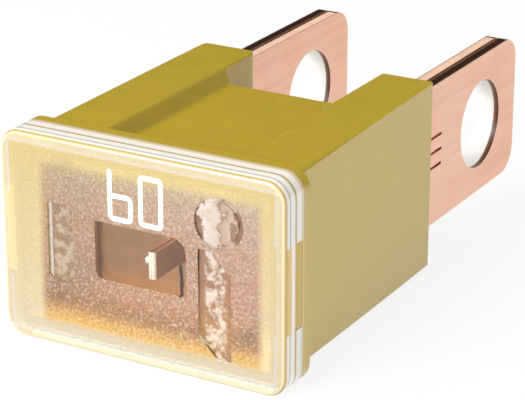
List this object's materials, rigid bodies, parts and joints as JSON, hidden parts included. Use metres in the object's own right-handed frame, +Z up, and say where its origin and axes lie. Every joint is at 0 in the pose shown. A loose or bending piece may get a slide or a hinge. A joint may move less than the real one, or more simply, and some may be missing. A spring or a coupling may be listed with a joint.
{
  "type": "bolt-down cartridge fuse",
  "caption": "Bolt-down cartridge fuse: moulded housing with a clear clip-fit window cover, folded copper element and two flat blades with bolt holes.",
  "frame": {"origin": "middle of the fuse's box, on the surface that it lies on", "axes": "+Z up through the wide sides, -Y out of the window, +Y along the blades, X across the two blades"},
  "size_m": [0.0206, 0.0386, 0.014],
  "materials": {
    "housing_plastic": "moulded nylon, satin",
    "clear_plastic": "clear moulding, frosted field with a polished pane",
    "copper_alloy": "rolled and stamped copper alloy",
    "soft_alloy": "dull low-melting alloy",
    "rating_ink": "white printing ink"
  },
  "bodies": {
    "root": {"housing": "housing_plastic", "window_cover": "clear_plastic", "fuse_element": "copper_alloy", "alloy_pellet": "soft_alloy"}
  },
  "joints": []
}
